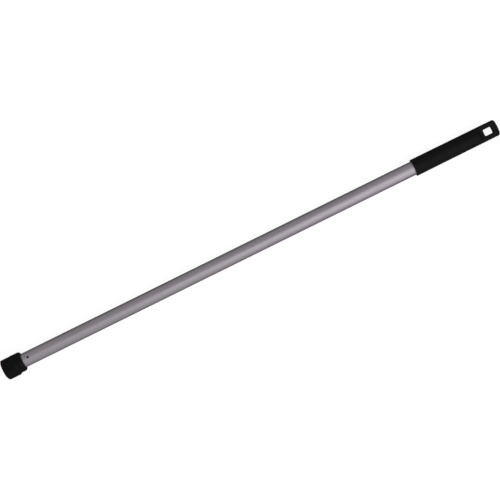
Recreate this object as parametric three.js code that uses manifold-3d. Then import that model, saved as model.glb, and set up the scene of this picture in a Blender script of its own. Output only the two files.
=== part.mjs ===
// Shuffleboard cue handle: a telescoping two-section pole, pushed together and locked.
//
// A wide outer tube carries the hand grip at one end and a twist lock at the other. A thinner inner
// tube slides in it, and the socket in its end takes the cue's head. Turning the lock collar screws
// it along the thread bush and lets go of the split clamp ring, and the inner section pulls out.
//
// Millimetres, +Z up. The cue lies along X: collar at -X, grip at +X, hang hole upright. The origin
// is the middle of the cue's length, on the floor that the collar's lobes touch. Every piece is
// drawn by its station, the distance from the collar's outer face, and its radius from the axis.

import * as THREE from 'three';
import { mergeVertices } from 'three/addons/utils/BufferGeometryUtils.js';
import Module from 'manifold-3d';

const wasm = await Module();
wasm.setup();

// ---------------------------------------------------------------- driving dimensions

const LENGTH = 964; // whole cue, pushed together
const AXIS_HEIGHT = 19.35; // axis above the floor, so that the collar's lobes just touch it
const GAP = 0.3; // clearance between neighbouring pieces

const OUTER_TUBE = { start: 26, end: 917.5, radius: 12.7, wall: 1.2 };
const INNER_TUBE = { start: 2.3, end: 877.5, radius: 9.525, wall: 1.2 };
const OUTER_BORE = OUTER_TUBE.radius - OUTER_TUBE.wall;
const INNER_BORE = INNER_TUBE.radius - INNER_TUBE.wall;

const COLLAR = {
  length: 39.4,
  lobes: 5,
  lobeRadius: 19.9,
  baseRadius: 17.8,
  lobeEnd: 23.2, // lobes start to fall here
  baseStart: 27.8, // and reach the plain round rim here
  firstFlute: THREE.MathUtils.degToRad(-18), // angle of a flute's middle, from +Z towards -Y
  fluteRadius: 16.9,
  wallStart: 27.2, // a flute's end wall starts here in its middle
  wallBow: 11, // and this much nearer the outer end on the crests
  wallLength: 2,
  endRound: 5.2, // length of the outer end's rounding
  endShoulder: 9.3, // and how far in from the lobes it reaches
  rimRound: 5.3,
  lipSlope: 0.5,
  endWall: 3,
  mouthRadius: 10.2,
  ribStart: 5.6, // the rib behind which the clamp ring's lip is snapped
  ribEnd: 6.8,
};

const THREAD = { start: 7.2, end: 24, rootRadius: 13.5, depth: 1.2, lead: 6, runOut: 2, clearance: 0.35 };
const BUSH = { shoulder: 24.4, web: 25.7, spigotEnd: 77.5, skirtRadius: THREAD.rootRadius + THREAD.depth };
const SEAT = { mouthRadius: 12.55, floorRadius: 10.95, floor: 16.9 };
const CLAMP = {
  lipRadius: 13.2,
  lipEnd: 5.3,
  neckRadius: 12.15,
  coneStart: 7.5,
  tipRadius: 10.6,
  tip: 16.5,
  slot: 2,
};

const RIVET = {
  station: 49.5,
  angle: THREE.MathUtils.degToRad(-11), // from +Z towards -Y
  holeFloor: 10.35, // the bush's rivet holes stop short of its bore
  shank: 2.15,
  hole: 1.7,
  head: 3,
  headHeight: 0.5,
};
const PIN_RADIUS = 1.5;

const SOCKET = { flange: 2, end: 37.5, boreRadius: 4.6, boreEnd: 22, mouthRadius: 5.6, pinStation: 31.5 };
const GUIDE = {
  start: 857.5,
  flangeEnd: 879.8,
  neckRadius: 7.6,
  neckEnd: 890.4,
  capRadius: 10.6,
  capEnd: 892.7,
};
const GLIDE_SLOT = 2.4; // the split in the glide ring
const GUIDE_PIN_STATION = 866;
const END_PLUG = { start: 893.2, wall: 2, cupEnd: 913, flangeEnd: 920 };

const GRIP = {
  start: 800.5,
  startRadius: 15.4,
  endRadius: 14.9,
  endRound: 3.2,
  endCrown: 0.9, // how far the end face bulges past its edge
  boreEnd: 920.3,
  lip: 0.5,
};
const TAB = { thickness: 15, scoopStart: 924, scoopEnd: 934 };
const HANG_HOLE = { centre: 945.4, length: 16.2, width: 11.6, corner: 2 };

const ROUND = 48; // facets round the big turned pieces
const SMALL_ROUND = 20; // and round pins and rivets
const ARC_STEPS = 3; // half the number of steps in an arc of a profile

// ---------------------------------------------------------------- materials

const plastic = (color, roughness) => new THREE.MeshStandardMaterial({ color, roughness, metalness: 0 });
const metal = (color, roughness) => new THREE.MeshStandardMaterial({ color, roughness, metalness: 1 });

const anodised = metal(0x9a949c, 0.42);
const millAluminium = metal(0xb4b5b8, 0.35);
const springSteel = metal(0x8d8f93, 0.3);
const gripBlack = plastic(0x1a181b, 0.55);
const collarBlack = plastic(0x1b181c, 0.45);
const nylonBlack = plastic(0x232225, 0.5);
const nylonNatural = plastic(0xd8d4c6, 0.45);

// ---------------------------------------------------------------- helpers

const root = new THREE.Group();
const cue = new THREE.Group();
cue.position.set(-LENGTH / 2, 0, AXIS_HEIGHT);
root.add(cue);

// A closed three.js geometry as a solid that can be joined and cut.
function solid(geometry) {
  geometry.deleteAttribute('normal');
  geometry.deleteAttribute('uv');
  const merged = mergeVertices(geometry, 1e-4);
  const corners = merged.index.array;
  const kept = [];
  for (let i = 0; i < corners.length; i += 3) {
    const [a, b, c] = corners.slice(i, i + 3);
    if (a !== b && b !== c && c !== a) kept.push(a, b, c);
  }
  const vertProperties = merged.attributes.position.array;
  return new wasm.Manifold(new wasm.Mesh({ numProp: 3, vertProperties, triVerts: new Uint32Array(kept) }));
}

// Adds a solid to the cue as the named mesh.
function piece(name, body, material) {
  const { vertProperties, triVerts } = body.getMesh();
  const geometry = new THREE.BufferGeometry();
  geometry.setAttribute('position', new THREE.BufferAttribute(vertProperties, 3));
  geometry.setIndex(new THREE.BufferAttribute(triVerts, 1));
  geometry.computeVertexNormals();
  const mesh = new THREE.Mesh(geometry, material);
  mesh.name = name;
  cue.add(mesh);
}

// A profile of [station, radius] points, or the points of a path in those coordinates, turned about
// the cue's axis. The outside is listed from the collar towards the grip. Angle 0 is +Z.
function turnedGeometry(profile, facets = ROUND) {
  const pairs = profile.map((point) => (Array.isArray(point) ? point : [point.x, point.y]));
  const points = pairs.map(([station, radius]) => new THREE.Vector2(radius, station));
  points.push(points[0].clone());
  return new THREE.LatheGeometry(points, facets).rotateZ(-Math.PI / 2);
}

const turned = (profile, facets) => solid(turnedGeometry(profile, facets));

// A plain round tube or rod between two stations.
function ring(start, end, radius, bore, facets) {
  return turned([[start, radius], [end, radius], [end, bore], [start, bore]], facets);
}

// Moves each point of a turned geometry in or out: radiusAt(station, angle, radius) is its new radius.
function reshaped(geometry, radiusAt) {
  const points = geometry.attributes.position;
  for (let i = 0; i < points.count; i++) {
    const [station, y, z] = [points.getX(i), points.getY(i), points.getZ(i)];
    const radius = Math.hypot(y, z);
    if (radius === 0) continue;
    const scale = radiusAt(station, Math.atan2(-y, z), radius) / radius;
    points.setXYZ(i, station, y * scale, z * scale);
  }
  return geometry;
}

// A cylinder that crosses the axis at a station, pointing at an angle from +Z towards -Y.
function crossRod(station, angle, radius, from, to) {
  const rod = new THREE.CylinderGeometry(radius, radius, to - from, SMALL_ROUND);
  rod.translate(0, (from + to) / 2, 0).rotateX(Math.PI / 2 + angle).translate(station, 0, 0);
  return solid(rod);
}

// An outline in the XZ or XY plane, pushed evenly through the axis.
function extruded(shape, depth) {
  const options = { depth, bevelEnabled: false, curveSegments: 6 };
  return new THREE.ExtrudeGeometry(shape, options).translate(0, 0, -depth / 2);
}

const smooth = THREE.MathUtils.smoothstep;

// ---------------------------------------------------------------- thread

// Height of the rounded thread, 0 at the root and 1 at the crest: one right-hand turn per lead.
function threadHeight(station, angle) {
  const turns = station / THREAD.lead - angle / (2 * Math.PI);
  return 0.5 + 0.5 * Math.cos(2 * Math.PI * turns);
}

// A rod from start to end whose side carries the thread, which fades out at the ends.
function threadedRod(start, end, rootRadius, runOut) {
  const rows = Math.round((end - start) * 1.15);
  const side = Array.from({ length: rows + 1 }, (_, i) => [start + ((end - start) * i) / rows, rootRadius]);
  const rod = turnedGeometry([[start, 0], ...side, [end, 0]]);
  return solid(
    reshaped(rod, (station, angle, radius) => {
      const fadeIn = runOut ? smooth(station, start, start + runOut) : 1;
      const fadeOut = runOut ? 1 - smooth(station, end - runOut, end) : 1;
      return radius + THREAD.depth * threadHeight(station, angle) * fadeIn * fadeOut;
    }),
  );
}

// ---------------------------------------------------------------- outer section

function outerTube() {
  const { start, end, radius } = OUTER_TUBE;
  const pierced = crossRod(RIVET.station, RIVET.angle, RIVET.shank + GAP, -radius - 1, radius + 1);
  return ring(start, end, radius, OUTER_BORE).subtract(pierced);
}

// The nylon bush in and over the tube's end, with the collar's thread and the clamp ring's cone seat.
function threadBush() {
  const { start, end, rootRadius, runOut } = THREAD;
  const rim = COLLAR.length;
  const skirt = turned([
    [BUSH.shoulder - 1, BUSH.skirtRadius],
    [rim - COLLAR.lipSlope, BUSH.skirtRadius],
    [rim, OUTER_TUBE.radius + GAP],
    [rim, 1],
    [BUSH.shoulder - 1, 1],
  ]);
  const spigot = ring(BUSH.web, BUSH.spigotEnd, OUTER_BORE - GAP, 1);
  const tubeSlot = ring(OUTER_TUBE.start - GAP, rim + 1, OUTER_TUBE.radius + GAP, OUTER_BORE - GAP);
  const relief = ring(BUSH.shoulder - 1, BUSH.shoulder, BUSH.skirtRadius + 1, rootRadius);
  const bore = turned([
    [start - 1, 0],
    [start - 1, SEAT.mouthRadius + 0.16],
    [SEAT.floor, SEAT.floorRadius],
    [SEAT.floor, INNER_TUBE.radius + GAP],
    [BUSH.spigotEnd + 1, INNER_TUBE.radius + GAP],
    [BUSH.spigotEnd + 1, 0],
  ]);
  const holeFloor = ring(RIVET.station - 5, RIVET.station + 5, RIVET.holeFloor, 0);
  const rivetHoles = crossRod(RIVET.station, RIVET.angle, RIVET.shank + GAP, -OUTER_BORE, OUTER_BORE);
  return threadedRod(start, end, rootRadius, runOut)
    .add(skirt)
    .subtract(relief)
    .subtract(tubeSlot)
    .add(spigot)
    .subtract(bore)
    .subtract(rivetHoles.subtract(holeFloor));
}

// A hollow rivet through the tube's wall and into the bush's spigot, on one side of the cue.
function rivet(side) {
  const inner = RIVET.holeFloor + GAP;
  const rod = (radius, from, to) => {
    const [low, high] = side > 0 ? [from, to] : [-to, -from];
    return crossRod(RIVET.station, RIVET.angle, radius, low, high);
  };
  const surface = OUTER_TUBE.radius;
  const flange = rod(RIVET.head, surface + 0.05, surface + 0.05 + RIVET.headHeight);
  return rod(RIVET.shank, inner, surface + 0.1).add(flange).subtract(rod(RIVET.hole, inner - 1, surface + 2));
}

// The cup that closes the tube under the grip and stops the inner section when it is pushed home.
function tubeEndPlug() {
  const { start, wall, cupEnd, flangeEnd } = END_PLUG;
  const radius = OUTER_BORE - GAP;
  return turned([
    [start, radius],
    [OUTER_TUBE.end + GAP, radius],
    [OUTER_TUBE.end + GAP, OUTER_TUBE.radius],
    [flangeEnd, OUTER_TUBE.radius],
    [flangeEnd, 0],
    [cupEnd, 0],
    [cupEnd, radius - wall],
    [start, radius - wall],
  ]);
}

// ---------------------------------------------------------------- grip

function gripBody() {
  const { start, startRadius, endRadius, endRound, endCrown, lip } = GRIP;
  const outline = new THREE.Path();
  outline.moveTo(start, 0).lineTo(start, startRadius - lip).lineTo(start + lip, startRadius);
  outline.lineTo(LENGTH - endCrown - endRound, endRadius);
  outline.absarc(LENGTH - endCrown - endRound, endRadius - endRound, endRound, Math.PI / 2, 0, true);
  outline.quadraticCurveTo(LENGTH, (endRadius - endRound) / 2, LENGTH, 0);
  return turned(outline.getPoints(ARC_STEPS));
}

// What is cut from above to leave the flat hang tab, with an S-shaped scoop down to it.
function tabScoop() {
  const { thickness, scoopStart, scoopEnd } = TAB;
  const [low, high] = [thickness / 2, GRIP.startRadius + 5];
  const middle = (scoopStart + scoopEnd) / 2;
  const section = new THREE.Shape();
  section.moveTo(scoopStart, high).lineTo(scoopStart, GRIP.startRadius);
  section.bezierCurveTo(middle, GRIP.startRadius, middle - 2, low, scoopEnd, low);
  section.lineTo(LENGTH + 5, low).lineTo(LENGTH + 5, high).closePath();
  return solid(extruded(section, 60).rotateX(Math.PI / 2));
}

function hangHole() {
  const { centre, length, width, corner } = HANG_HOLE;
  const [x, y] = [length / 2, width / 2];
  const outline = new THREE.Shape();
  outline.moveTo(x - corner, -y).absarc(x - corner, -y + corner, corner, -Math.PI / 2, 0);
  outline.absarc(x - corner, y - corner, corner, 0, Math.PI / 2);
  outline.absarc(-x + corner, y - corner, corner, Math.PI / 2, Math.PI);
  outline.absarc(-x + corner, -y + corner, corner, Math.PI, 1.5 * Math.PI);
  return solid(extruded(outline, 60).translate(centre, 0, 0));
}

function grip() {
  const bore = ring(GRIP.start - 1, GRIP.boreEnd, OUTER_TUBE.radius + GAP, 0);
  const scoop = tabScoop();
  return gripBody()
    .subtract(bore)
    .subtract(scoop)
    .subtract(scoop.rotate([180, 0, 0]))
    .subtract(hangHole());
}

// ---------------------------------------------------------------- twist lock

// How deep the collar is cut below the lobes' outline: down to the floor in the middle of a flute and
// nothing on the crests. A flute narrows and ends at the rim in a bowed wall.
function fluteDepth(station, angle, outlineRadius) {
  const { lobes, firstFlute, fluteRadius, baseRadius, wallStart, wallBow, wallLength } = COLLAR;
  const turns = ((angle - firstFlute) * lobes) / (2 * Math.PI);
  const towardsCrest = 2 * Math.abs(turns - Math.round(turns));
  const wall = wallStart - wallBow * towardsCrest;
  const floor = fluteRadius + (baseRadius - fluteRadius) * smooth(station, wall, wall + wallLength);
  return Math.max(0, outlineRadius - floor) * (0.5 + 0.5 * Math.cos(Math.PI * towardsCrest));
}

function collarSkin() {
  const { length, lobes, lobeRadius, baseRadius, lobeEnd, baseStart, endRound, endShoulder } = COLLAR;
  const { wallStart, wallBow, wallLength, rimRound } = COLLAR;
  const fluteEnd = wallStart + wallLength;
  const outline = new THREE.Path();
  outline.moveTo(0, 0).lineTo(0, lobeRadius - endShoulder);
  outline.absellipse(endRound, lobeRadius - endShoulder, endRound, endShoulder, Math.PI, Math.PI / 2, true);
  outline.lineTo(wallStart - wallBow / 2, lobeRadius).lineTo(lobeEnd, lobeRadius);
  outline.bezierCurveTo(lobeEnd + 2, lobeRadius, baseStart - 2, baseRadius, baseStart, baseRadius);
  outline.lineTo(fluteEnd, baseRadius).lineTo(length - rimRound, baseRadius);
  outline.absarc(length - rimRound, baseRadius - rimRound, rimRound, Math.PI / 2, 0, true);
  outline.lineTo(length, 0);
  const skin = turnedGeometry(outline.getPoints(ARC_STEPS), lobes * 20);
  return solid(reshaped(skin, (station, angle, radius) => radius - fluteDepth(station, angle, radius)));
}

function lockCollar() {
  const { length, endWall, mouthRadius, ribStart, ribEnd } = COLLAR;
  const { end, rootRadius, depth, clearance } = THREAD;
  const cavity = turned([
    [-1, 0],
    [-1, mouthRadius],
    [endWall, mouthRadius],
    [endWall, CLAMP.lipRadius + 0.4],
    [ribStart, CLAMP.lipRadius + 0.4],
    [ribStart, CLAMP.neckRadius + 0.5],
    [ribEnd, CLAMP.neckRadius + 0.5],
    [ribEnd, 0],
  ]);
  const thread = threadedRod(ribEnd - 0.01, end - 0.5, rootRadius + clearance, 0);
  const skirt = ring(end - 0.51, length + 1, rootRadius + depth + clearance + 0.05, 0);
  return collarSkin().subtract(cavity).subtract(thread).subtract(skirt);
}

// The split ring that the collar pushes into the bush's cone, where it grips the inner tube.
function clampRing() {
  const { lipRadius, lipEnd, neckRadius, coneStart, tipRadius, tip, slot } = CLAMP;
  const bore = INNER_TUBE.radius + GAP;
  const whole = turned([
    [COLLAR.endWall + GAP, lipRadius],
    [lipEnd, lipRadius],
    [lipEnd, neckRadius],
    [coneStart, neckRadius],
    [tip, tipRadius],
    [tip, bore],
    [COLLAR.endWall + GAP, bore],
  ]);
  const split = new THREE.BoxGeometry(30, slot, 20).translate(10, 0, -12);
  return whole.subtract(solid(split));
}

// ---------------------------------------------------------------- inner section

function pinHole(station, radius) {
  return crossRod(station, 0, radius, -INNER_TUBE.radius - 1, INNER_TUBE.radius + 1);
}

function innerTube() {
  const { start, end, radius } = INNER_TUBE;
  return ring(start, end, radius, INNER_BORE, 40)
    .subtract(pinHole(SOCKET.pinStation, PIN_RADIUS + GAP))
    .subtract(pinHole(GUIDE_PIN_STATION, PIN_RADIUS + GAP));
}

// The plug in the inner tube's lower end, with the bore that takes the cue head's stud.
function headSocket() {
  const { flange, end, boreRadius, boreEnd, mouthRadius, pinStation } = SOCKET;
  const radius = INNER_BORE - GAP;
  const chamfer = mouthRadius - boreRadius;
  const body = turned([
    [0, mouthRadius],
    [0, INNER_TUBE.radius - 0.5],
    [0.5, INNER_TUBE.radius],
    [flange, INNER_TUBE.radius],
    [flange, radius],
    [end, radius],
    [end, 0],
    [boreEnd, 0],
    [boreEnd, boreRadius],
    [chamfer, boreRadius],
  ], 40);
  return body.subtract(pinHole(pinStation, PIN_RADIUS + GAP));
}

// The plug in the inner tube's upper end, a spool that carries the glide ring.
function guidePlug() {
  const { start, flangeEnd, neckRadius, neckEnd, capRadius, capEnd } = GUIDE;
  const body = turned([
    [start, 0],
    [start, INNER_BORE - GAP],
    [INNER_TUBE.end + GAP, INNER_BORE - GAP],
    [INNER_TUBE.end + GAP, INNER_TUBE.radius],
    [flangeEnd, INNER_TUBE.radius],
    [flangeEnd, neckRadius],
    [neckEnd, neckRadius],
    [neckEnd, capRadius],
    [capEnd, capRadius],
    [capEnd, 0],
  ], 40);
  return body.subtract(pinHole(GUIDE_PIN_STATION, PIN_RADIUS + GAP));
}

// The split ring that rides in the outer tube, and meets the bush when the cue is pulled right out.
function glideRing() {
  const { flangeEnd, neckRadius, neckEnd } = GUIDE;
  const whole = ring(flangeEnd + GAP, neckEnd - GAP, OUTER_BORE - GAP, neckRadius + GAP, 40);
  const split = new THREE.BoxGeometry(20, GLIDE_SLOT, 20).translate((flangeEnd + neckEnd) / 2, 0, -12);
  return whole.subtract(solid(split));
}

function crossPin(station) {
  return crossRod(station, 0, PIN_RADIUS, GAP - INNER_TUBE.radius, INNER_TUBE.radius - GAP);
}

// ---------------------------------------------------------------- the cue

piece('outer_tube', outerTube(), anodised);
piece('grip', grip(), gripBlack);
piece('tube_end_plug', tubeEndPlug(), nylonBlack);
piece('thread_bush', threadBush(), nylonBlack);
piece('rivet_front', rivet(1), millAluminium);
piece('rivet_back', rivet(-1), millAluminium);

piece('lock_collar', lockCollar(), collarBlack);
piece('clamp_ring', clampRing(), nylonNatural);

piece('inner_tube', innerTube(), millAluminium);
piece('head_socket', headSocket(), nylonBlack);
piece('socket_pin', crossPin(SOCKET.pinStation), springSteel);
piece('guide_plug', guidePlug(), nylonBlack);
piece('guide_pin', crossPin(GUIDE_PIN_STATION), springSteel);
piece('glide_ring', glideRing(), nylonNatural);

export default root;
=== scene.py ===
"""Shuffleboard cue handle: the looks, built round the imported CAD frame.

Every piece is drawn in millimetres by its station, the distance along the cue from the collar's
outer face, and its radius from the cue's axis. Angles run from +Z towards -Y. The frame says where
station 0 and the axis are.
"""

import math

import bpy
import numpy as np
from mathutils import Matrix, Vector


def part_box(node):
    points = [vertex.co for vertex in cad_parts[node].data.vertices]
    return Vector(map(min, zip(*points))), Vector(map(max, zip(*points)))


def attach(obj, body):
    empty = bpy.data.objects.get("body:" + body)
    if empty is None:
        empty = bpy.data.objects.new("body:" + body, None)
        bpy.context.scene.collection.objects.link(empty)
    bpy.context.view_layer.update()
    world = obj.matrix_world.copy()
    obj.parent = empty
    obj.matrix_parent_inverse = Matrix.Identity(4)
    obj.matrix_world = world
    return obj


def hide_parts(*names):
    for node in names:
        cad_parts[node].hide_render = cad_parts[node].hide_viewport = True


MM = 0.001
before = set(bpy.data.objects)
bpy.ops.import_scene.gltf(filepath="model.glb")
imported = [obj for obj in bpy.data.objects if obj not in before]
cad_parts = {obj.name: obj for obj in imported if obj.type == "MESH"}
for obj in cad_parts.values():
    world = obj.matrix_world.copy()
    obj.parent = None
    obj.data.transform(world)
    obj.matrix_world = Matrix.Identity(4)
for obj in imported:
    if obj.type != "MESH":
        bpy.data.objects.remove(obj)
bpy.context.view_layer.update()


# ---------------------------------------------------------------- where things are

def span(node):
    """First and last station of a CAD node, in millimetres."""
    low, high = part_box(node)
    return (low.x - START.x) / MM, (high.x - START.x) / MM


def widest(node):
    """Radius of a CAD node, in millimetres, measured across the cue."""
    low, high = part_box(node)
    return (high.y - low.y) / 2 / MM


tube_low, tube_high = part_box("inner_tube")
START = Vector((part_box("lock_collar")[0].x, 0, (tube_low.z + tube_high.z) / 2))

GAP = 0.3  # left between pieces that are pressed together
LENGTH = span("grip")[1]
TUBE_START, TUBE_END = span("outer_tube")
TUBE_RADIUS = widest("outer_tube")
INNER_START, INNER_END = span("inner_tube")
INNER_RADIUS = widest("inner_tube")
WALL = 1.2  # of both tubes
TUBE_BORE = TUBE_RADIUS - WALL
INNER_BORE = INNER_RADIUS - WALL
RIM = span("lock_collar")[1]

LOBES = 5
LOBE_RADIUS, RIM_RADIUS = 19.87, 17.8
LOBE_END, RIM_START = 23.2, 27.8  # the lobes fall to the round rim between these stations
FIRST_FLUTE = math.radians(-18)
FLUTE_RADIUS = 16.9  # out to the floor of a flute
FLUTE_WALL_START, FLUTE_WALL_BOW, FLUTE_WALL_LENGTH = 27.2, 11, 2  # where a flute ends

THREAD_START, THREAD_END = 7.2, 24
THREAD_ROOT, THREAD_DEPTH, THREAD_LEAD, THREAD_RUN_OUT = 13.5, 1.2, 6, 2
THREAD_CLEARANCE = 0.35

RIVET_STATION = 49.5
RIVET_ANGLE = math.radians(-11)
RIVET_SHANK, RIVET_HOLE_FLOOR = 2.15, 10.35
PIN_RADIUS = 1.5
SOCKET_PIN_STATION, GUIDE_PIN_STATION = 31.5, 866

FINE_STEP, COARSE_STEP = 0.8, 40  # lengths of a tube's faces, beside its holes and elsewhere
CUTTER_REACH = 40  # well outside the cue


# ---------------------------------------------------------------- outlines

def arc(station, radius, half_length, half_height, begin, end, steps=10):
    """Points of an elliptical arc about (station, radius), between two angles in degrees."""
    turn = np.radians(np.linspace(begin, end, steps + 1))
    return [(station + half_length * math.cos(a), radius + half_height * math.sin(a)) for a in turn]


def bezier(a, b, c, d, steps=14):
    """Points of a cubic curve from a to d."""
    points = []
    for t in np.linspace(0, 1, steps + 1):
        weights = ((1 - t) ** 3, 3 * t * (1 - t) ** 2, 3 * t * t * (1 - t), t ** 3)
        points.append(tuple(sum(w * p[i] for w, p in zip(weights, (a, b, c, d))) for i in (0, 1)))
    return points


def rounded(corners, steps=5):
    """An outline of (station, radius) or (station, radius, fillet) corners, with its fillets drawn."""
    points = []
    count = len(corners)
    for i, corner in enumerate(corners):
        here = np.array(corner[:2], float)
        fillet = corner[2] if len(corner) > 2 else 0
        if not fillet:
            points.append(tuple(here))
            continue
        before = np.array(corners[i - 1][:2], float) - here
        after = np.array(corners[(i + 1) % count][:2], float) - here
        before /= np.linalg.norm(before)
        after /= np.linalg.norm(after)
        half = math.acos(float(np.clip(before @ after, -1, 1))) / 2
        centre = here + (before + after) / np.linalg.norm(before + after) * fillet / math.sin(half)
        first = here + before * fillet / math.tan(half) - centre
        last = here + after * fillet / math.tan(half) - centre
        sweep = math.atan2(first[0] * last[1] - first[1] * last[0], first @ last)
        for step in range(steps + 1):
            a = sweep * step / steps
            turned_x = first[0] * math.cos(a) - first[1] * math.sin(a)
            turned_y = first[0] * math.sin(a) + first[1] * math.cos(a)
            points.append((centre[0] + turned_x, centre[1] + turned_y))
    return points


def refined(points, begin, end, step):
    """The outline with its straight runs between two stations cut into short steps."""
    result = []
    for i, (station, radius) in enumerate(points):
        result.append((station, radius))
        next_station, next_radius = points[(i + 1) % len(points)]
        low, high = sorted((station, next_station))
        low, high = max(low, begin), min(high, end)
        if high - low <= step:
            continue
        cuts = np.linspace(low, high, int((high - low) / step) + 2)
        if next_station < station:
            cuts = cuts[::-1]
        for cut in cuts:
            part = (cut - station) / (next_station - station)
            if 1e-6 < part < 1 - 1e-6:
                result.append((float(cut), radius + (next_radius - radius) * part))
    return result


# ---------------------------------------------------------------- meshes

def to_part_frame(points):
    """Points in millimetres about the cue's axis (station, y, z), moved to the part's frame."""
    return np.asarray(points, float) * MM + np.array(START)


def add_piece(name, vertices, faces, normals=None):
    """A mesh object from vertices in the part's frame, shaded smooth except at its sharp edges."""
    mesh = bpy.data.meshes.new(name)
    mesh.from_pydata(np.asarray(vertices).tolist(), [], faces)
    mesh.validate()
    piece = bpy.data.objects.new(name, mesh)
    bpy.context.scene.collection.objects.link(piece)
    face_outwards(mesh)
    shade(mesh)
    if normals is not None:
        mesh.normals_split_custom_set_from_vertices(normals.tolist())
    return piece


def face_outwards(mesh):
    """Flips a closed mesh that is inside out."""
    corners = np.zeros(len(mesh.vertices) * 3)
    mesh.vertices.foreach_get("co", corners)
    corners = corners.reshape(-1, 3)
    mesh.calc_loop_triangles()
    indices = np.zeros(len(mesh.loop_triangles) * 3, int)
    mesh.loop_triangles.foreach_get("vertices", indices)
    a, b, c = (corners[indices.reshape(-1, 3)[:, i]] for i in range(3))
    if np.einsum("ij,ij->i", a, np.cross(b, c)).sum() < 0:
        mesh.flip_normals()


def shade(mesh, angle=32):
    mesh.shade_smooth()
    mesh.set_sharp_from_angle(angle=math.radians(angle))


def spin(name, outline, facets=144, reshape=None, place=to_part_frame):
    """Turns a closed outline about its axis. reshape(station, angle, radius) gives a new radius."""
    vertices, rings = [], []
    angles = 2 * np.pi * np.arange(facets) / facets
    for station, radius in outline:
        if radius < 1e-6:
            rings.append([len(vertices)] * facets)
            vertices.append((station, 0, 0))
            continue
        radii = np.full(facets, float(radius))
        if reshape:
            radii = reshape(station, angles, radii)
        rings.append(list(range(len(vertices), len(vertices) + facets)))
        vertices += zip([station] * facets, -radii * np.sin(angles), radii * np.cos(angles))
    faces = []
    for ring, after in zip(rings, rings[1:] + rings[:1]):
        for i in range(facets):
            j = (i + 1) % facets
            corners = [ring[i], ring[j], after[j], after[i]]
            face = [c for k, c in enumerate(corners) if c != corners[k - 1]]
            if len(face) > 2:
                faces.append(face)
    return add_piece(name, place(vertices), faces)


def across(station, angle):
    """Placement for a piece that is spun about a line crossing the cue's axis: its own stations
    are distances out from the axis, along the given angle."""
    def place(points):
        points = np.asarray(points, float)
        out, side, along = points[:, 0], points[:, 1], points[:, 2]
        y = -out * math.sin(angle) + side * math.cos(angle)
        z = out * math.cos(angle) + side * math.sin(angle)
        return to_part_frame(np.stack([station + along, y, z], 1))
    return place


def box_cutter(low, high):
    """A plain box to cut with, between two corners (station, y, z)."""
    corners = [(x, y, z) for x in (low[0], high[0]) for y in (low[1], high[1]) for z in (low[2], high[2])]
    faces = [(0, 1, 3, 2), (4, 6, 7, 5), (0, 4, 5, 1), (2, 3, 7, 6), (0, 2, 6, 4), (1, 5, 7, 3)]
    return add_piece("cutter", to_part_frame(corners), faces)


def slot_cutter(start, end, width):
    """A box to cut with, that splits the lower wall of a ring from end to end."""
    past_ends, inner, outer = 2, 2, 22
    return box_cutter((start - past_ends, -width / 2, -outer), (end + past_ends, width / 2, -inner))


def rod_cutter(station, angle, radius, begin=-CUTTER_REACH):
    """A rod to cut with, on a line across the cue's axis, from its beginning to well outside."""
    outline = [(begin, 0), (begin, radius), (CUTTER_REACH, radius), (CUTTER_REACH, 0)]
    return spin("cutter", outline, 64, place=across(station, angle))


def cut(piece, *cutters):
    """Cuts the piece with each cutter, and throws the cutters away."""
    for cutter in cutters:
        modifier = piece.modifiers.new("cut", "BOOLEAN")
        modifier.operation, modifier.solver, modifier.object = "DIFFERENCE", "EXACT", cutter
    evaluated = piece.evaluated_get(bpy.context.evaluated_depsgraph_get())
    mesh = bpy.data.meshes.new_from_object(evaluated)
    piece.modifiers.clear()
    piece.data = mesh
    for cutter in cutters:
        bpy.data.objects.remove(cutter)
    shade(mesh)
    return piece


# ---------------------------------------------------------------- skins from a distance field

def both(a, b, fillet):
    """Where two solids overlap, with the edge between them rounded."""
    past = np.hypot(np.maximum(a + fillet, 0), np.maximum(b + fillet, 0))
    return np.minimum(-fillet, np.maximum(a, b)) + past


def slope_of(field, points, step=0.02):
    """Gradient of a field at some points."""
    parts = []
    for axis in range(3):
        shift = np.zeros(3)
        shift[axis] = step
        parts.append((field(*(points + shift).T) - field(*(points - shift).T)) / (2 * step))
    return np.stack(parts, 1)


def settled(field, points, rounds=3):
    """Moves points onto the surface where the field is zero."""
    for _ in range(rounds):
        slope = slope_of(field, points)
        size = np.maximum((slope ** 2).sum(1), 0.05)
        points = points - slope * (np.clip(field(*points.T), -0.5, 0.5) / size)[:, None]
    return points


def crossings(values, axes):
    """Middle of the places where the field changes sign, for each cell of the grid that has any."""
    shape = [len(a) - 1 for a in axes]
    total, hits = np.zeros(shape + [3]), np.zeros(shape)
    for axis in range(3):
        ends = [slice(None)] * 3
        others = [k for k in range(3) if k != axis]
        first, second = list(ends), list(ends)
        first[axis], second[axis] = slice(0, -1), slice(1, None)
        a, b = values[tuple(first)], values[tuple(second)]
        crossed = (a < 0) != (b < 0)
        part = np.where(crossed, a / np.where(crossed, a - b, 1), 0)
        position = np.zeros(a.shape + (3,))
        for k in range(3):
            grid_shape = [1, 1, 1]
            grid_shape[k] = -1
            if k == axis:
                low, high = axes[k][:-1].reshape(grid_shape), axes[k][1:].reshape(grid_shape)
                position[..., k] = low + (high - low) * part
            else:
                position[..., k] = axes[k].reshape(grid_shape)
        position *= crossed[..., None]
        for i in (0, 1):
            for j in (0, 1):
                pick = [slice(None)] * 3
                pick[others[0]] = slice(i, a.shape[others[0]] - 1 + i)
                pick[others[1]] = slice(j, a.shape[others[1]] - 1 + j)
                total += position[tuple(pick)]
                hits += crossed[tuple(pick)]
    return total, hits


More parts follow.
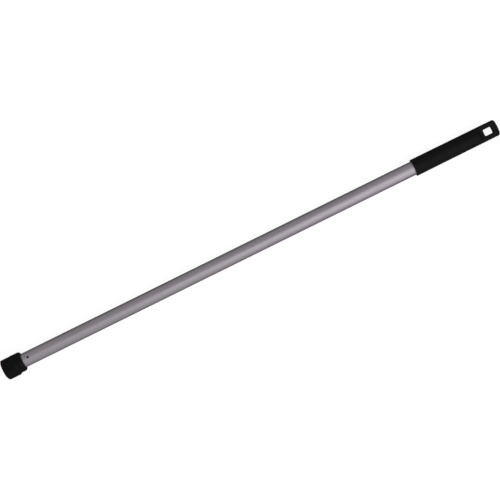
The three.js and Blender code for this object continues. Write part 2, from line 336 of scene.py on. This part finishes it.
def skin(name, field, axes, relax=3):
    """The closed surface where a field (station, y, z) is zero, as even quads on a grid of cells."""
    grid = np.meshgrid(*axes, indexing="ij")
    values = field(*grid)
    total, hits = crossings(values, axes)
    active = hits > 0
    numbers = np.full(active.shape, -1)
    numbers[active] = np.arange(active.sum())
    points = settled(field, total[active] / hits[active][:, None])
    inside = values < 0
    quads = []
    for axis in range(3):
        u, v = [k for k in range(3) if k != axis]
        first, second = [slice(1, -1)] * 3, [slice(1, -1)] * 3
        first[axis], second[axis] = slice(0, -1), slice(1, None)
        a, b = inside[tuple(first)], inside[tuple(second)]
        where = np.argwhere(a != b)
        leaves = a[tuple(where.T)]
        where[:, u] += 1
        where[:, v] += 1
        corners = []
        for du, dv in ((-1, -1), (0, -1), (0, 0), (-1, 0)):
            cell = where.copy()
            cell[:, u] += du
            cell[:, v] += dv
            corners.append(numbers[tuple(cell.T)])
        quad = np.stack(corners, 1)
        if axis == 1:
            leaves = ~leaves
        quad[~leaves] = quad[~leaves][:, ::-1]
        quads.append(quad)
    quads = np.concatenate(quads)
    for _ in range(relax):
        near, count = np.zeros_like(points), np.zeros(len(points))
        for k in range(4):
            np.add.at(near, quads[:, k], points[quads[:, (k + 1) % 4]] + points[quads[:, k - 1]])
            np.add.at(count, quads[:, k], 2)
        points = settled(field, points * 0.5 + near / count[:, None] * 0.5, 2)
    normals = slope_of(field, points)
    normals /= np.linalg.norm(normals, axis=1)[:, None]
    return add_piece(name, to_part_frame(points), quads.tolist(), normals)


def stops(*runs):
    """Grid positions: each run is (from, to, step)."""
    parts = [np.linspace(a, b, max(2, round((b - a) / step) + 1)) for a, b, step in runs]
    return np.unique(np.round(np.concatenate(parts), 6))


# ---------------------------------------------------------------- materials

class Finish:
    """A Principled material whose colour, roughness and bump come from nodes."""

    def __init__(self, name, colour, roughness, metallic=0.0, specular=0.5):
        self.material = bpy.data.materials.new(name)
        self.material.use_nodes = True
        self.tree = self.material.node_tree
        self.shader = self.tree.nodes["Principled BSDF"]
        self.shader.inputs["Metallic"].default_value = metallic
        self.shader.inputs["Specular IOR Level"].default_value = specular
        self.colour, self.roughness = colour, roughness
        self.shader.inputs["Base Color"].default_value = (*colour, 1)
        self.shader.inputs["Roughness"].default_value = roughness
        self.place = self.add("ShaderNodeTexCoord").outputs["Object"]
        self.height = None

    def add(self, kind, inputs=None, **settings):
        node = self.tree.nodes.new(kind)
        for key, value in settings.items():
            setattr(node, key, value)
        for key, value in (inputs or {}).items():
            if isinstance(value, bpy.types.NodeSocket):
                self.tree.links.new(value, node.inputs[key])
            else:
                node.inputs[key].default_value = value
        return node

    def stretched(self, scale):
        """Object coordinates scaled by a vector, to draw a pattern out along an axis."""
        return self.add("ShaderNodeVectorMath", {0: self.place, 1: scale}, operation="MULTIPLY").outputs[0]

    def noise(self, scale, detail=3.0, stretch=None, rough=0.5):
        """Noise from 0 to 1 with features of about 1 / scale metres."""
        vector = self.stretched(stretch) if stretch else self.place
        inputs = {"Vector": vector, "Scale": scale, "Detail": detail, "Roughness": rough}
        return self.add("ShaderNodeTexNoise", inputs).outputs["Fac"]

    def grain(self, scale, stretch=None):
        """Distance to the nearest cell middle, for moulded grain."""
        vector = self.stretched(stretch) if stretch else self.place
        return self.add("ShaderNodeTexVoronoi", {"Vector": vector, "Scale": scale}).outputs["Distance"]

    def mapped(self, value, low, high, to_low, to_high):
        inputs = {"Value": value, "From Min": low, "From Max": high, "To Min": to_low, "To Max": to_high}
        return self.add("ShaderNodeMapRange", inputs).outputs["Result"]

    def combined(self, a, b, how="MULTIPLY"):
        return self.add("ShaderNodeMath", {0: a, 1: b}, operation=how).outputs[0]

    def tint(self, factor, lighter, darker):
        """Base colour between two multiples of the material's own colour."""
        ends = {"A": (*[c * darker for c in self.colour], 1), "B": (*[c * lighter for c in self.colour], 1)}
        mix = self.add("ShaderNodeMix", {"Factor": factor}, data_type="RGBA")
        for socket in mix.inputs:
            if socket.type == "RGBA" and socket.name in ends:
                socket.default_value = ends[socket.name]
        result = next(s for s in mix.outputs if s.type == "RGBA")
        self.tree.links.new(result, self.shader.inputs["Base Color"])

    def rough(self, value):
        self.tree.links.new(value, self.shader.inputs["Roughness"])

    def bump(self, height, depth_mm, strength=1.0):
        """Adds a bump layer of the given depth on top of those before it."""
        inputs = {"Height": height, "Distance": depth_mm * MM, "Strength": strength}
        if self.height:
            inputs["Normal"] = self.height
        self.height = self.add("ShaderNodeBump", inputs).outputs["Normal"]
        self.tree.links.new(self.height, self.shader.inputs["Normal"])


def anodised_tube():
    """Satin anodised tube: fine lines drawn along it, and faint cloudy patches of colour."""
    finish = Finish("anodised_tube", (0.86, 0.79, 0.87), 0.42, metallic=1.0)
    lines = finish.noise(1.0, 4, stretch=(5, 1500, 1500))
    broad = finish.noise(1.0, 2, stretch=(9, 260, 260))
    clouds = finish.noise(38, 3)
    finish.tint(finish.combined(lines, clouds, "ADD"), 1.12, 0.88)
    finish.rough(finish.mapped(finish.combined(lines, broad, "ADD"), 0.5, 1.5, 0.35, 0.52))
    finish.bump(broad, 0.03, 0.25)
    finish.bump(lines, 0.012, 0.35)
    finish.bump(finish.noise(4200, 2), 0.004, 0.4)
    return finish.material


def inner_aluminium():
    """Plain satin tube: drawing lines, and rub marks left along it by the clamp."""
    finish = Finish("inner_tube_aluminium", (0.78, 0.78, 0.8), 0.33, metallic=1.0)
    lines = finish.noise(1.0, 4, stretch=(6, 1800, 1800))
    rubs = finish.noise(1.0, 2, stretch=(14, 420, 420))
    finish.tint(finish.combined(lines, rubs), 1.2, 0.85)
    finish.rough(finish.mapped(rubs, 0.35, 0.65, 0.24, 0.42))
    finish.bump(rubs, 0.02, 0.25)
    finish.bump(lines, 0.01, 0.4)
    return finish.material


def rivet_aluminium():
    """Small turned rivet with a slightly dull, hammered head."""
    finish = Finish("rivet_aluminium", (0.82, 0.81, 0.83), 0.3, metallic=1.0)
    dents = finish.noise(900, 3)
    finish.tint(dents, 1.15, 0.8)
    finish.rough(finish.mapped(dents, 0.3, 0.7, 0.22, 0.42))
    finish.bump(dents, 0.03, 0.4)
    return finish.material


def spring_steel():
    """Rolled pin of plain spring steel with fine lines."""
    finish = Finish("spring_steel", (0.56, 0.56, 0.58), 0.3, metallic=1.0)
    lines = finish.noise(1.0, 4, stretch=(3000, 3000, 120))
    finish.tint(lines, 1.2, 0.75)
    finish.rough(finish.mapped(lines, 0.3, 0.7, 0.22, 0.4))
    finish.bump(lines, 0.01, 0.5)
    return finish.material


def moulded_black(name, colour, roughness, specular, cell, depth):
    """Black moulded plastic: fine spark-eroded grain, and gloss that varies in soft patches."""
    finish = Finish(name, colour, roughness, specular=specular)
    patches = finish.noise(55, 4)
    fine = finish.noise(2400, 3)
    finish.tint(finish.combined(patches, fine), 1.7, 0.75)
    finish.rough(finish.mapped(patches, 0.3, 0.7, roughness - 0.06, roughness + 0.08))
    finish.bump(patches, 0.08, 0.2)
    finish.bump(finish.grain(cell), depth, 0.6)
    finish.bump(fine, depth * 0.5, 0.5)
    return finish.material


def nylon_natural():
    """Unfilled nylon: creamy, waxy and a little translucent."""
    finish = Finish("nylon_natural", (0.7, 0.68, 0.6), 0.42)
    finish.shader.inputs["Subsurface Weight"].default_value = 0.25
    finish.shader.inputs["Subsurface Scale"].default_value = 0.002
    patches = finish.noise(160, 3)
    finish.tint(patches, 1.06, 0.9)
    finish.rough(finish.mapped(patches, 0.3, 0.7, 0.36, 0.5))
    finish.bump(finish.noise(2600, 2), 0.01, 0.4)
    return finish.material


MATERIALS = {
    "anodised_tube": anodised_tube(),
    "inner_tube_aluminium": inner_aluminium(),
    "rivet_aluminium": rivet_aluminium(),
    "spring_steel": spring_steel(),
    "grip_black": moulded_black("grip_black", (0.0095, 0.0083, 0.0098), 0.5, 0.27, 1900, 0.03),
    "collar_black": moulded_black("collar_black", (0.0078, 0.0066, 0.0086), 0.4, 0.25, 2600, 0.02),
    "nylon_black": moulded_black("nylon_black", (0.014, 0.014, 0.016), 0.45, 0.4, 3000, 0.012),
    "nylon_natural": nylon_natural(),
}


def put(piece, body, node, slot):
    """Gives a finished piece its material and its body, and hides the CAD node that it stands for."""
    piece.data.materials.clear()
    piece.data.materials.append(MATERIALS[slot])
    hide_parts(node)
    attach(piece, body)


# ---------------------------------------------------------------- outer section

def outer_tube():
    outline = rounded([
        (TUBE_START, TUBE_RADIUS, 0.35),
        (TUBE_END, TUBE_RADIUS, 0.35),
        (TUBE_END, TUBE_BORE, 0.2),
        (TUBE_START, TUBE_BORE, 0.2),
    ])
    near, plain_start, plain_end = 4, 60, TUBE_END - 2
    outline = refined(outline, RIVET_STATION - near, RIVET_STATION + near, FINE_STEP)
    outline = refined(outline, plain_start, plain_end, COARSE_STEP)
    piece = spin("outer_tube_drawn", outline, 192)
    cut(piece, rod_cutter(RIVET_STATION, RIVET_ANGLE, RIVET_SHANK + GAP))
    put(piece, "handle", "outer_tube", "anodised_tube")


def thread_height(station, angle):
    """Height of the rounded thread, 0 at the root and 1 at the crest: right-handed."""
    return 0.5 + 0.5 * np.cos(2 * np.pi * station / THREAD_LEAD - angle)


def fade(value, begin, end):
    """Rises smoothly from 0 at the beginning to 1 at the end."""
    part = np.clip((value - begin) / (end - begin), 0, 1)
    return part * part * (3 - 2 * part)


def thread_bush():
    shoulder, skirt = 24.4, THREAD_ROOT + THREAD_DEPTH
    bore, spigot, spigot_end = INNER_RADIUS + GAP, TUBE_BORE - GAP, span("thread_bush")[1]
    slot_bore, slot_end = TUBE_RADIUS + GAP, TUBE_START - GAP
    seat_floor, seat_floor_radius, seat_mouth_radius = 16.9, 10.95, 12.71
    outline = rounded([
        (THREAD_START, THREAD_ROOT, 0.3),
        (shoulder, THREAD_ROOT, 0.2),
        (shoulder, skirt, 0.4),
        (RIM - 0.6, skirt, 0.5),
        (RIM, slot_bore, 0.1),
        (slot_end, slot_bore),
        (slot_end, spigot),
        (spigot_end, spigot, 0.5),
        (spigot_end, bore, 0.3),
        (seat_floor, bore, 0.2),
        (seat_floor, seat_floor_radius),
        (THREAD_START, seat_mouth_radius, 0.2),
    ])
    outline = refined(outline, THREAD_START, THREAD_END, 0.25)

    def thread(station, angle, radius):
        if radius[0] < THREAD_ROOT - 0.35 or station > shoulder - 0.3:
            return radius
        rise = fade(station, THREAD_START, THREAD_START + THREAD_RUN_OUT)
        fall = 1 - fade(station, THREAD_END - THREAD_RUN_OUT, THREAD_END)
        return radius + THREAD_DEPTH * thread_height(station, angle) * rise * fall

    piece = spin("thread_bush_moulding", outline, 144, thread)
    for angle in (RIVET_ANGLE, RIVET_ANGLE + math.pi):
        cut(piece, rod_cutter(RIVET_STATION, angle, RIVET_SHANK + GAP, RIVET_HOLE_FLOOR))
    put(piece, "handle", "thread_bush", "nylon_black")


def rivet(node, angle):
    """A hollow rivet with a rolled flange that lies on the tube."""
    inner, shank, hole, head = RIVET_HOLE_FLOOR + GAP, RIVET_SHANK, 1.7, 3
    seat, top = TUBE_RADIUS + 0.05, TUBE_RADIUS + 0.55
    outline = rounded([
        (inner, shank, 0.1),
        (seat, shank),
        (seat, head, 0.18),
        (top - 0.02, head, 0.26),
        (top, hole + 0.25, 0.35),
        (inner, hole, 0.1),
    ], 6)

    def place(points):
        points = np.array(points, float)
        drop = TUBE_RADIUS - np.sqrt(TUBE_RADIUS ** 2 - points[:, 1] ** 2)
        points[:, 0] -= drop * np.clip((points[:, 0] - TUBE_RADIUS + 1) / 1, 0, 1)
        return across(RIVET_STATION, angle)(points)

    piece = spin(node + "_rolled", outline, 64, place=place)
    put(piece, "handle", node, "rivet_aluminium")


def tube_end_plug():
    start, end = span("tube_end_plug")
    radius, wall, floor = TUBE_BORE - GAP, 2, 913
    outline = rounded([
        (end, 0),
        (end, TUBE_RADIUS, 0.5),
        (TUBE_END + GAP, TUBE_RADIUS, 0.2),
        (TUBE_END + GAP, radius, 0.2),
        (start, radius, 0.6),
        (start, radius - wall, 0.5),
        (floor, radius - wall, 0.8),
        (floor, 0),
    ])
    put(spin("tube_end_plug_moulding", outline, 96), "handle", "tube_end_plug", "nylon_black")


def grip():
    """The moulded hand grip: a slightly tapered sleeve that ends in a flat tab with a hole."""
    start = span("grip")[0]
    start_radius, end_radius, end_round, crown = 15.4, 14.9, 3.2, 0.9
    bore, bore_end = TUBE_RADIUS + GAP, 920.3
    tab_half, scoop_start, scoop_end = 7.5, 924, 934
    lead_in = 0.25  # how fast the cut for the tab rises before the scoop, to clear the sleeve
    hole_middle, hole_half, hole_corner = 945.4, (8.1, 5.8), 2
    start_edge, tab_edge, hole_edge = 0.6, 1.1, 0.7
    scoop_middle = (scoop_start + scoop_end) / 2
    scoop = bezier((scoop_start, start_radius), (scoop_middle, start_radius),
                   (scoop_middle - 2, tab_half), (scoop_end, tab_half), 60)
    scoop_stations, scoop_heights = np.array(scoop).T
    scoop_slopes = np.gradient(scoop_heights, scoop_stations)

    def field(station, y, z):
        radius = np.hypot(y, z)
        taper = np.clip((station - start) / (LENGTH - start), 0, 1)
        side = radius - (start_radius + (end_radius - start_radius) * taper)
        end_face = station - (LENGTH - crown * np.minimum(radius / (end_radius - end_round), 1.3) ** 2)
        body = both(side, end_face, end_round)
        body = both(body, start - station, start_edge)
        height = np.interp(station, scoop_stations, scoop_heights)
        height = height + np.maximum(scoop_start - station, 0) * lead_in
        slope = np.interp(station, scoop_stations, scoop_slopes, left=-lead_in, right=0)
        body = both(body, (np.abs(z) - height) / np.hypot(1, slope), tab_edge)
        over_x = np.abs(station - hole_middle) - hole_half[0] + hole_corner
        over_y = np.abs(y) - hole_half[1] + hole_corner
        corner = np.hypot(np.maximum(over_x, 0), np.maximum(over_y, 0))
        hole = corner + np.minimum(np.maximum(over_x, over_y), 0) - hole_corner
        body = both(body, -hole, hole_edge)
        sleeve = both(radius - bore, station - bore_end, 0.3)
        return both(body, -sleeve, 0.4)

    reach = start_radius + 0.8
    side_stops = stops((-reach, reach, 0.42))
    axes = (stops((start - 1, start + 2, 0.33), (start + 2, bore_end - 2, 1.4),
                  (bore_end - 2, LENGTH + 1, 0.38)), side_stops, side_stops)
    put(skin("grip_moulding", field, axes), "handle", "grip", "grip_black")


# ---------------------------------------------------------------- twist lock

def flute_depth(station, angle, radius):
    """How deep the collar is cut below its lobes' outline: down to the floor in the middle of a flute
    and nothing on the crests. A flute narrows and ends at the rim in a bowed wall."""
    turns = (angle - FIRST_FLUTE) * LOBES / (2 * np.pi)
    towards_crest = 2 * np.abs(turns - np.round(turns))
    wall = FLUTE_WALL_START - FLUTE_WALL_BOW * towards_crest
    wall_height = (RIM_RADIUS - FLUTE_RADIUS) * fade(station, wall, wall + FLUTE_WALL_LENGTH)
    floor = FLUTE_RADIUS + wall_height
    return np.maximum(0, radius - floor) * (0.5 + 0.5 * np.cos(np.pi * towards_crest))


def lock_collar():
    """The lobed collar: five soft lobes that fade into a round rim, with the thread inside."""
    end_round, end_shoulder, rim_round, rim_middle = 5.2, 9.3, 5.3, 34.1
    end_wall, mouth, lip, rib, rib_start, rib_end = 3, 10.2, 13.6, 12.65, 5.6, 6.8
    root = THREAD_ROOT + THREAD_CLEARANCE
    skirt, skirt_start = THREAD_ROOT + THREAD_DEPTH + THREAD_CLEARANCE + 0.05, 23.5
    outside = arc(end_round, LOBE_RADIUS - end_shoulder, end_round, end_shoulder, 180, 90, 28)
    outside += bezier((LOBE_END, LOBE_RADIUS), (LOBE_END + 2, LOBE_RADIUS),
                      (RIM_START - 2, RIM_RADIUS), (RIM_START, RIM_RADIUS), 14)
    outside += arc(rim_middle, RIM_RADIUS - rim_round, rim_round, rim_round, 90, 33, 18)
    inside = rounded([
        outside[-1],
        (RIM - 0.05, skirt + 0.15, 0.1),
        (RIM - 0.4, skirt),
        (skirt_start, skirt),
        (skirt_start, root),
        (rib_end, root),
        (rib_end, rib),
        (rib_start, rib, 0.1),
        (rib_start, lip),
        (end_wall, lip),
        (end_wall, mouth, 0.4),
        (0, mouth, 0.3),
        outside[0],
    ])[1:-1]
    outline = refined(outside + inside, end_round, rim_middle, 0.4)
    outline = refined(outline, rib_end, skirt_start, 0.25)

    def shape(station, angle, radius):
        if abs(radius[0] - root) < 0.01 and station > rib_end:
            return radius + THREAD_DEPTH * thread_height(station, angle)
        return radius - flute_depth(station, angle, radius)

    piece = spin("lock_collar_moulding", outline, 300, shape)
    put(piece, "collar", "lock_collar", "collar_black")


def clamp_ring():
    """The split cone that the collar pushes into the bush. The collar's rib holds it by its lip."""
    bore = INNER_RADIUS + GAP
    start, end = span("clamp_ring")
    lip, lip_end, neck, cone_start, tip, slot = 13.2, 5.3, 12.15, 7.5, 10.6, 2
    outline = rounded([
        (start, lip, 0.3),
        (lip_end, lip, 0.3),
        (lip_end, neck),
        (cone_start, neck),
        (end, tip, 0.2),
        (end, bore, 0.15),
        (start, bore, 0.3),
    ])
    piece = spin("clamp_ring_moulding", outline, 128)
    cut(piece, slot_cutter(start, end, slot))
    put(piece, "clamp", "clamp_ring", "nylon_natural")


# ---------------------------------------------------------------- inner section

def inner_tube():
    outline = rounded([
        (INNER_START, INNER_RADIUS, 0.3),
        (INNER_END, INNER_RADIUS, 0.3),
        (INNER_END, INNER_BORE, 0.2),
        (INNER_START, INNER_BORE, 0.2),
    ])
    pins = (SOCKET_PIN_STATION, GUIDE_PIN_STATION)
    near, plain_start, plain_end = 3, 40, INNER_END - 20
    for station in pins:
        outline = refined(outline, station - near, station + near, FINE_STEP)
    outline = refined(outline, plain_start, plain_end, COARSE_STEP)
    piece = spin("inner_tube_drawn", outline, 160)
    cut(piece, *[rod_cutter(station, 0, PIN_RADIUS + GAP) for station in pins])
    put(piece, "inner", "inner_tube", "inner_tube_aluminium")


def head_socket():
    """The plug for the cue head, with the coarse thread in its bore."""
    flange, end, bore, bore_end, mouth = 2, span("head_socket")[1], 4.6, 22, 5.6
    radius, depth, lead = INNER_BORE - GAP, 0.55, 2.2
    outline = rounded([
        (0, mouth, 0.2),
        (0, INNER_RADIUS, 0.5),
        (flange, INNER_RADIUS, 0.15),
        (flange, radius, 0.1),
        (end, radius, 0.5),
        (end, 0),
    ]) + [(bore_end, 0), (bore_end - 1.5, bore), (mouth - bore + 0.1, bore)]
    outline = refined(outline, 1, bore_end - 1, 0.18)

    def thread(station, angle, radius):
        if abs(radius[0] - bore) > 0.01:
            return radius
        wave = 0.5 + 0.5 * np.cos(2 * np.pi * station / lead - angle)
        return radius + depth * fade(wave, 0.25, 0.75) * (1 - fade(station, bore_end - 5, bore_end - 3))

    piece = spin("head_socket_moulding", outline, 128, thread)
    cut(piece, rod_cutter(SOCKET_PIN_STATION, 0, PIN_RADIUS + GAP))
    put(piece, "inner", "head_socket", "nylon_black")


def rolled_pin(node, station):
    """A slotted spring pin right across the tube."""
    reach, bore, slot = INNER_RADIUS - GAP, 0.75, 0.5
    outline = rounded([
        (-reach, PIN_RADIUS, 0.35),
        (reach, PIN_RADIUS, 0.35),
        (reach, bore, 0.1),
        (-reach, bore, 0.1),
    ])
    piece = spin(node + "_rolled", outline, 48, place=across(station, 0))
    cut(piece, box_cutter((station, -slot / 2, -CUTTER_REACH), (station + 5, slot / 2, CUTTER_REACH)))
    put(piece, "inner", node, "spring_steel")


def guide_plug():
    """The plug in the inner tube's upper end. The glide ring runs between its shoulder and head."""
    start, end = span("guide_plug")
    radius, head = INNER_BORE - GAP, 10.6
    neck_start, neck_end, neck = 879.8, 890.4, 7.6
    outline = rounded([
        (start, 0),
        (start, radius, 0.6),
        (INNER_END + GAP, radius, 0.1),
        (INNER_END + GAP, INNER_RADIUS, 0.1),
        (neck_start, INNER_RADIUS, 0.3),
        (neck_start, neck),
        (neck_end, neck),
        (neck_end, head, 0.3),
        (end, head, 0.6),
        (end, 0),
    ])
    piece = spin("guide_plug_moulding", outline, 96)
    cut(piece, rod_cutter(GUIDE_PIN_STATION, 0, PIN_RADIUS + GAP))
    put(piece, "inner", "guide_plug", "nylon_black")


def glide_ring():
    start, end = span("glide_ring")
    bore, slot = 7.9, 2.4
    outline = rounded([
        (start, TUBE_BORE - GAP, 0.7),
        (end, TUBE_BORE - GAP, 0.7),
        (end, bore, 0.3),
        (start, bore, 0.3),
    ])
    piece = spin("glide_ring_moulding", outline, 96)
    cut(piece, slot_cutter(start, end, slot))
    put(piece, "glide", "glide_ring", "nylon_natural")


outer_tube()
thread_bush()
rivet("rivet_front", RIVET_ANGLE)
rivet("rivet_back", RIVET_ANGLE + math.pi)
tube_end_plug()
grip()
lock_collar()
clamp_ring()
inner_tube()
head_socket()
rolled_pin("socket_pin", SOCKET_PIN_STATION)
rolled_pin("guide_pin", GUIDE_PIN_STATION)
guide_plug()
glide_ring()


# ---------------------------------------------------------------- floor, light and camera

KEY_TILT = math.radians(60)
FILL, KEY = 0.205, 0.055


def stage_surface():
    """A pale floor that rises far away into a plain backdrop, all round."""
    reach, rise, bend = 9, 6, 3
    outline = [(0, radius) for radius in (0, 0.6, 2, 4, reach - bend)]
    outline += arc(bend, reach - bend, bend, bend, 180, 90, 16)[1:] + [(rise, reach)]
    facets, vertices, faces, rings = 96, [], [], []
    for height, radius in outline:
        if radius == 0:
            rings.append([0] * facets)
            vertices.append((0, 0, height))
            continue
        rings.append([len(vertices) + i for i in range(facets)])
        for i in range(facets):
            turn = 2 * math.pi * i / facets
            vertices.append((radius * math.cos(turn), radius * math.sin(turn), height))
    for ring, after in zip(rings, rings[1:]):
        for i in range(facets):
            j = (i + 1) % facets
            face = [ring[i], after[i], after[j], ring[j]]
            faces.append(face if ring[i] != ring[j] else face[:3])
    mesh = bpy.data.meshes.new("floor")
    mesh.from_pydata(vertices, [], faces)
    mesh.shade_smooth()
    floor = bpy.data.objects.new("floor", mesh)
    bpy.context.scene.collection.objects.link(floor)
    finish = Finish("pale_floor", (0.6, 0.6, 0.6), 0.9, specular=0.1)
    finish.tint(finish.noise(6, 2), 1.01, 0.99)
    finish.shader.inputs["Emission Color"].default_value = (1, 1, 1, 1)
    finish.shader.inputs["Emission Strength"].default_value = 0.86
    mesh.materials.append(finish.material)
    floor.visible_glossy = False
    floor.visible_diffuse = False


def softbox(name, place, target, size, power):
    """A large white lamp, turned towards its target. Sizes are in metres."""
    light = bpy.data.lights.new(name, "AREA")
    light.shape, light.size, light.size_y = "RECTANGLE", *size
    light.energy = power
    lamp = bpy.data.objects.new(name, light)
    lamp.location = place
    lamp.rotation_euler = (Vector(target) - Vector(place)).to_track_quat("-Z", "Y").to_euler()
    lamp.visible_camera = False
    bpy.context.scene.collection.objects.link(lamp)


def studio_world():
    """Soft light from all round: an even fill, more from above on the -Y side, and less from below."""
    world = bpy.data.worlds.new("studio")
    world.use_nodes = True
    tree = world.node_tree
    background = tree.nodes["Background"]
    background.inputs["Color"].default_value = (1, 1, 1, 1)
    direction = tree.nodes.new("ShaderNodeTexCoord").outputs["Generated"]

    def along(axis):
        node = tree.nodes.new("ShaderNodeVectorMath")
        node.operation = "DOT_PRODUCT"
        node.inputs[1].default_value = axis
        tree.links.new(direction, node.inputs[0])
        return node.outputs["Value"]

    def ramp(value, low, high, to_low, to_high):
        node = tree.nodes.new("ShaderNodeMapRange")
        node.interpolation_type = "SMOOTHSTEP"
        for key, number in (("From Min", low), ("From Max", high), ("To Min", to_low), ("To Max", to_high)):
            node.inputs[key].default_value = number
        tree.links.new(value, node.inputs["Value"])
        return node.outputs["Result"]

    def combined(a, b, how):
        node = tree.nodes.new("ShaderNodeMath")
        node.operation = how
        tree.links.new(a, node.inputs[0])
        tree.links.new(b, node.inputs[1])
        return node.outputs[0]

    key_side = along((0, -math.sin(KEY_TILT), math.cos(KEY_TILT)))
    fill = ramp(key_side, -1.2, -0.75, 0.02, FILL)
    key = ramp(key_side, 0.0, 1.0, 0, KEY)
    below = ramp(along((0, 0, 1)), -0.85, 0.0, 0.3, 1)
    total = combined(combined(fill, key, "ADD"), below, "MULTIPLY")
    tree.links.new(total, background.inputs["Strength"])
    bpy.context.scene.world = world


def camera():
    """Straight above, with the cue's grip end turned up to the right."""
    lens, sensor, distance, tilt = 119.5, 36, 2.908, math.radians(26.28)
    aim_x, aim_y = -0.0018, -0.0019
    data = bpy.data.cameras.new("camera")
    data.lens, data.sensor_width, data.sensor_height = lens, sensor, sensor
    data.clip_start, data.clip_end = 0.05, 40
    eye = bpy.data.objects.new("camera", data)
    eye.location = (aim_x, aim_y, START.z + distance)
    eye.rotation_euler = (0, 0, -tilt)
    bpy.context.scene.collection.objects.link(eye)
    bpy.context.scene.camera = eye


stage_surface()
studio_world()
softbox("key", place=(1.3, -1.1, 1.9), target=(0.9, 0, 0.05), size=(3, 4.2), power=13)
camera()
bpy.context.scene.view_settings.view_transform = "Standard"
